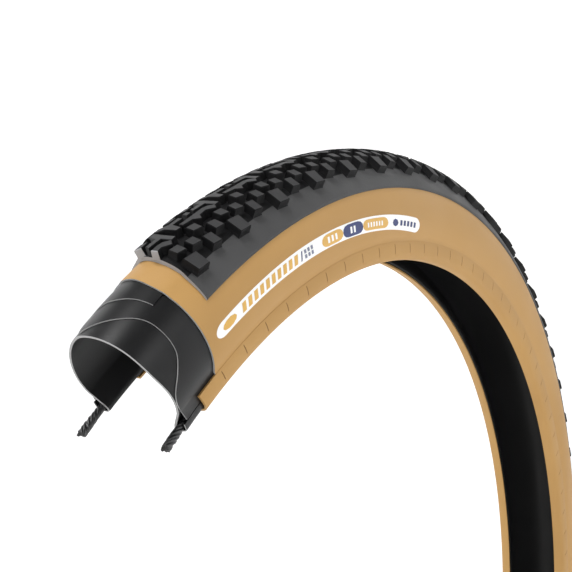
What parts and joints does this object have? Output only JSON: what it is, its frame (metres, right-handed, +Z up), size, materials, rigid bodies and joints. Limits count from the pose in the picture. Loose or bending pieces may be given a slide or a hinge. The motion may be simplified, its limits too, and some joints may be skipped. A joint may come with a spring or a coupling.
{
  "type": "bicycle tire",
  "caption": "Knobbly gravel bicycle tire with tan sidewalls, cut open at one end so that its rubber skin, stepped casing plies, bead cables and chafer strips show.",
  "frame": {"origin": "centre of the wheel, on the axle's line and midway between the beads", "axes": "+Y along the wheel's axle, towards the far side; +Z up; +X across, away from the cut end"},
  "size_m": [0.7312, 0.051, 0.7336],
  "materials": {
    "tread_rubber": "matt black tread rubber, slightly greyer on the block tops",
    "tan_rubber": "satin tan sidewall rubber with a faint weave under it",
    "ply_fabric": "black rubberised cord fabric with a soft sheen",
    "liner_rubber": "smooth black sealing rubber",
    "chafer_fabric": "tan rubberised chafer cloth with pressed cross lines",
    "filler_rubber": "black filler rubber",
    "cable_fibre": "black twisted bead cable",
    "label_film": null
  },
  "bodies": {
    "root": {"tread": "tread_rubber", "sidewall_skin": "tan_rubber", "far_turn_up": "ply_fabric", "near_turn_up": "ply_fabric", "casing_ply": "ply_fabric", "inner_liner": "liner_rubber", "near_chafer": "chafer_fabric", "far_chafer": "chafer_fabric", "near_bead_filler": "filler_rubber", "far_bead_filler": "filler_rubber", "near_bead_cable": "cable_fibre", "far_bead_cable": "cable_fibre", "near_label": "label_film", "far_label": "label_film"}
  },
  "joints": []
}
